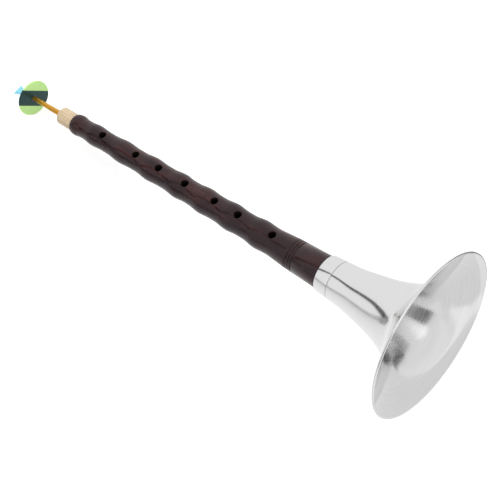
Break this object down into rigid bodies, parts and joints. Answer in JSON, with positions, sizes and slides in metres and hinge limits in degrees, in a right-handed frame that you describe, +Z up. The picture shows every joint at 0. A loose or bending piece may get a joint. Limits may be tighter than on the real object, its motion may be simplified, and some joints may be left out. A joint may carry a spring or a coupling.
{
  "type": "suona",
  "caption": "Double-reed horn: a flat reed and lip disc on a brass staple, a pale socket, a bulged dark wooden pipe with finger holes, and a wide slip-on metal bell.",
  "frame": {"origin": "middle of the footprint, on the table that the instrument lies on", "axes": "+Z up, +X towards the bell, with the instrument's own axis in the XZ plane and 6.7 degrees up towards the bell"},
  "size_m": [0.408, 0.1196, 0.1189],
  "materials": {
    "reed_film": "translucent pale blue film",
    "red_thread": "waxed cotton thread",
    "disc_plastic": "polished, pale green with a dark teal band",
    "staple_brass": "polished",
    "pale_wood": "oiled, fine grain",
    "rosewood": "dark rosewood, polished",
    "cork": "raw cork",
    "bell_metal": "nickel plate, spun and finely brushed"
  },
  "bodies": {
    "wood_pipe": {"pipe": "rosewood", "ferrule": "pale_wood", "tenon_cork": "cork"},
    "bell": {"bell_flare": "bell_metal", "bell_collar": "bell_metal", "bell_rim_wire": "bell_metal"},
    "staple_tube": {"staple": "staple_brass", "staple_lapping": "red_thread"},
    "disc": {"lip_disc": "disc_plastic"},
    "reed": {"reed_blades": "reed_film", "reed_binding": "red_thread"}
  },
  "joints": [
    {"name": "bell_pull", "type": "slide", "parent": "wood_pipe", "child": "bell", "axis": [0.9931, 0, 0.1172], "range_m": [0, 0.04]},
    {"name": "staple_pull", "type": "slide", "parent": "wood_pipe", "child": "staple_tube", "axis": [-0.9931, 0, -0.1172], "range_m": [0, 0.012]},
    {"name": "disc_turn", "type": "hinge", "parent": "staple_tube", "child": "disc", "pos_m": [-0.18509, 0, 0.01449], "axis": [0.9931, 0, 0.1172], "continuous": true},
    {"name": "reed_pull", "type": "slide", "parent": "staple_tube", "child": "reed", "axis": [-0.9931, 0, -0.1172], "range_m": [0, 0.006]}
  ]
}
